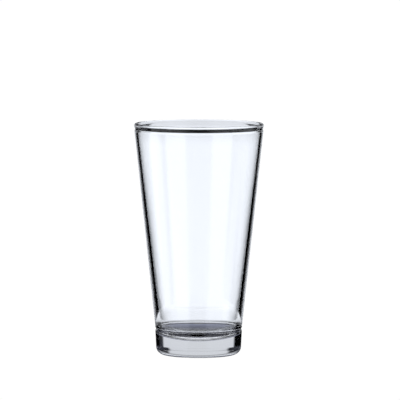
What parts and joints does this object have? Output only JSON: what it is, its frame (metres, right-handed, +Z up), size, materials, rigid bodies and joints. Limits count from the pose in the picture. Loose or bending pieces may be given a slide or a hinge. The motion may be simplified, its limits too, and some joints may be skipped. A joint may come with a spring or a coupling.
{
  "type": "mixing glass",
  "caption": "Tall tapered clear glass tumbler with a rounded rim bead, a thick solid foot and a dished well, for stirring and shaking drinks.",
  "frame": {"origin": "centre of the base, on the surface the glass stands on", "axes": "+Z up along the axis of the glass, from the foot to the mouth; the glass is turned, so X and Y are free"},
  "size_m": [0.0888, 0.0888, 0.1588],
  "materials": {
    "clear_glass": "clear, smooth, fire-polished soda-lime glass with a very faint cool tint"
  },
  "bodies": {
    "root": {"glass": "clear_glass"}
  },
  "joints": []
}
